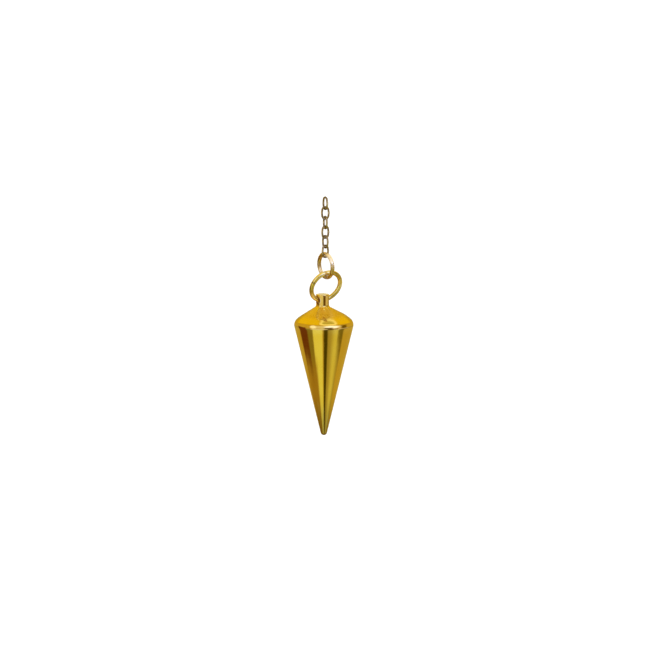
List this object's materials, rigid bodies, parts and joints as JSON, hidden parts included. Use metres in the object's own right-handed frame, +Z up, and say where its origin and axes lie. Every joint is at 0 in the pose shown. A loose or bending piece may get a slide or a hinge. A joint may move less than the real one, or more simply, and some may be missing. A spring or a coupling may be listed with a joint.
{
  "type": "pendulum pendant",
  "caption": "Pointed turned brass bob with a pierced neck, hung on two interlocked jump rings and a short fine cable chain.",
  "frame": {"origin": "where a hook bears on the inside of the top link, so that the whole part hangs below it", "axes": "+Z up along the hanging chain, +X to the right and +Y away from the viewer of the front"},
  "size_m": [0.0132, 0.0132, 0.054],
  "materials": {
    "polished_gold": "bright polished brass with a warm gold tone and faint turning lines",
    "ring_gold": "polished round wire, a little paler and greener than the bob",
    "chain_bronze": "fine wire with a dull brown bronze tone"
  },
  "bodies": {
    "root": {"small_ring": "ring_gold", "link_1": "chain_bronze", "link_2": "chain_bronze", "link_3": "chain_bronze", "link_4": "chain_bronze", "link_5": "chain_bronze", "link_6": "chain_bronze"},
    "large_ring": {"large_ring": "ring_gold"},
    "bob": {"bob": "polished_gold"}
  },
  "joints": [
    {"name": "ring_swing", "type": "hinge", "parent": "root", "child": "large_ring", "pos_m": [0.00033, 0, -0.01763], "axis": [0.5548, -0.8291, 0.0697], "range_deg": [-90, 90]},
    {"name": "bob_swing", "type": "hinge", "parent": "large_ring", "child": "bob", "pos_m": [-0.00062, 0.00281, -0.02307], "axis": [0.866, 0.5, 0], "range_deg": [-75, 115]}
  ]
}
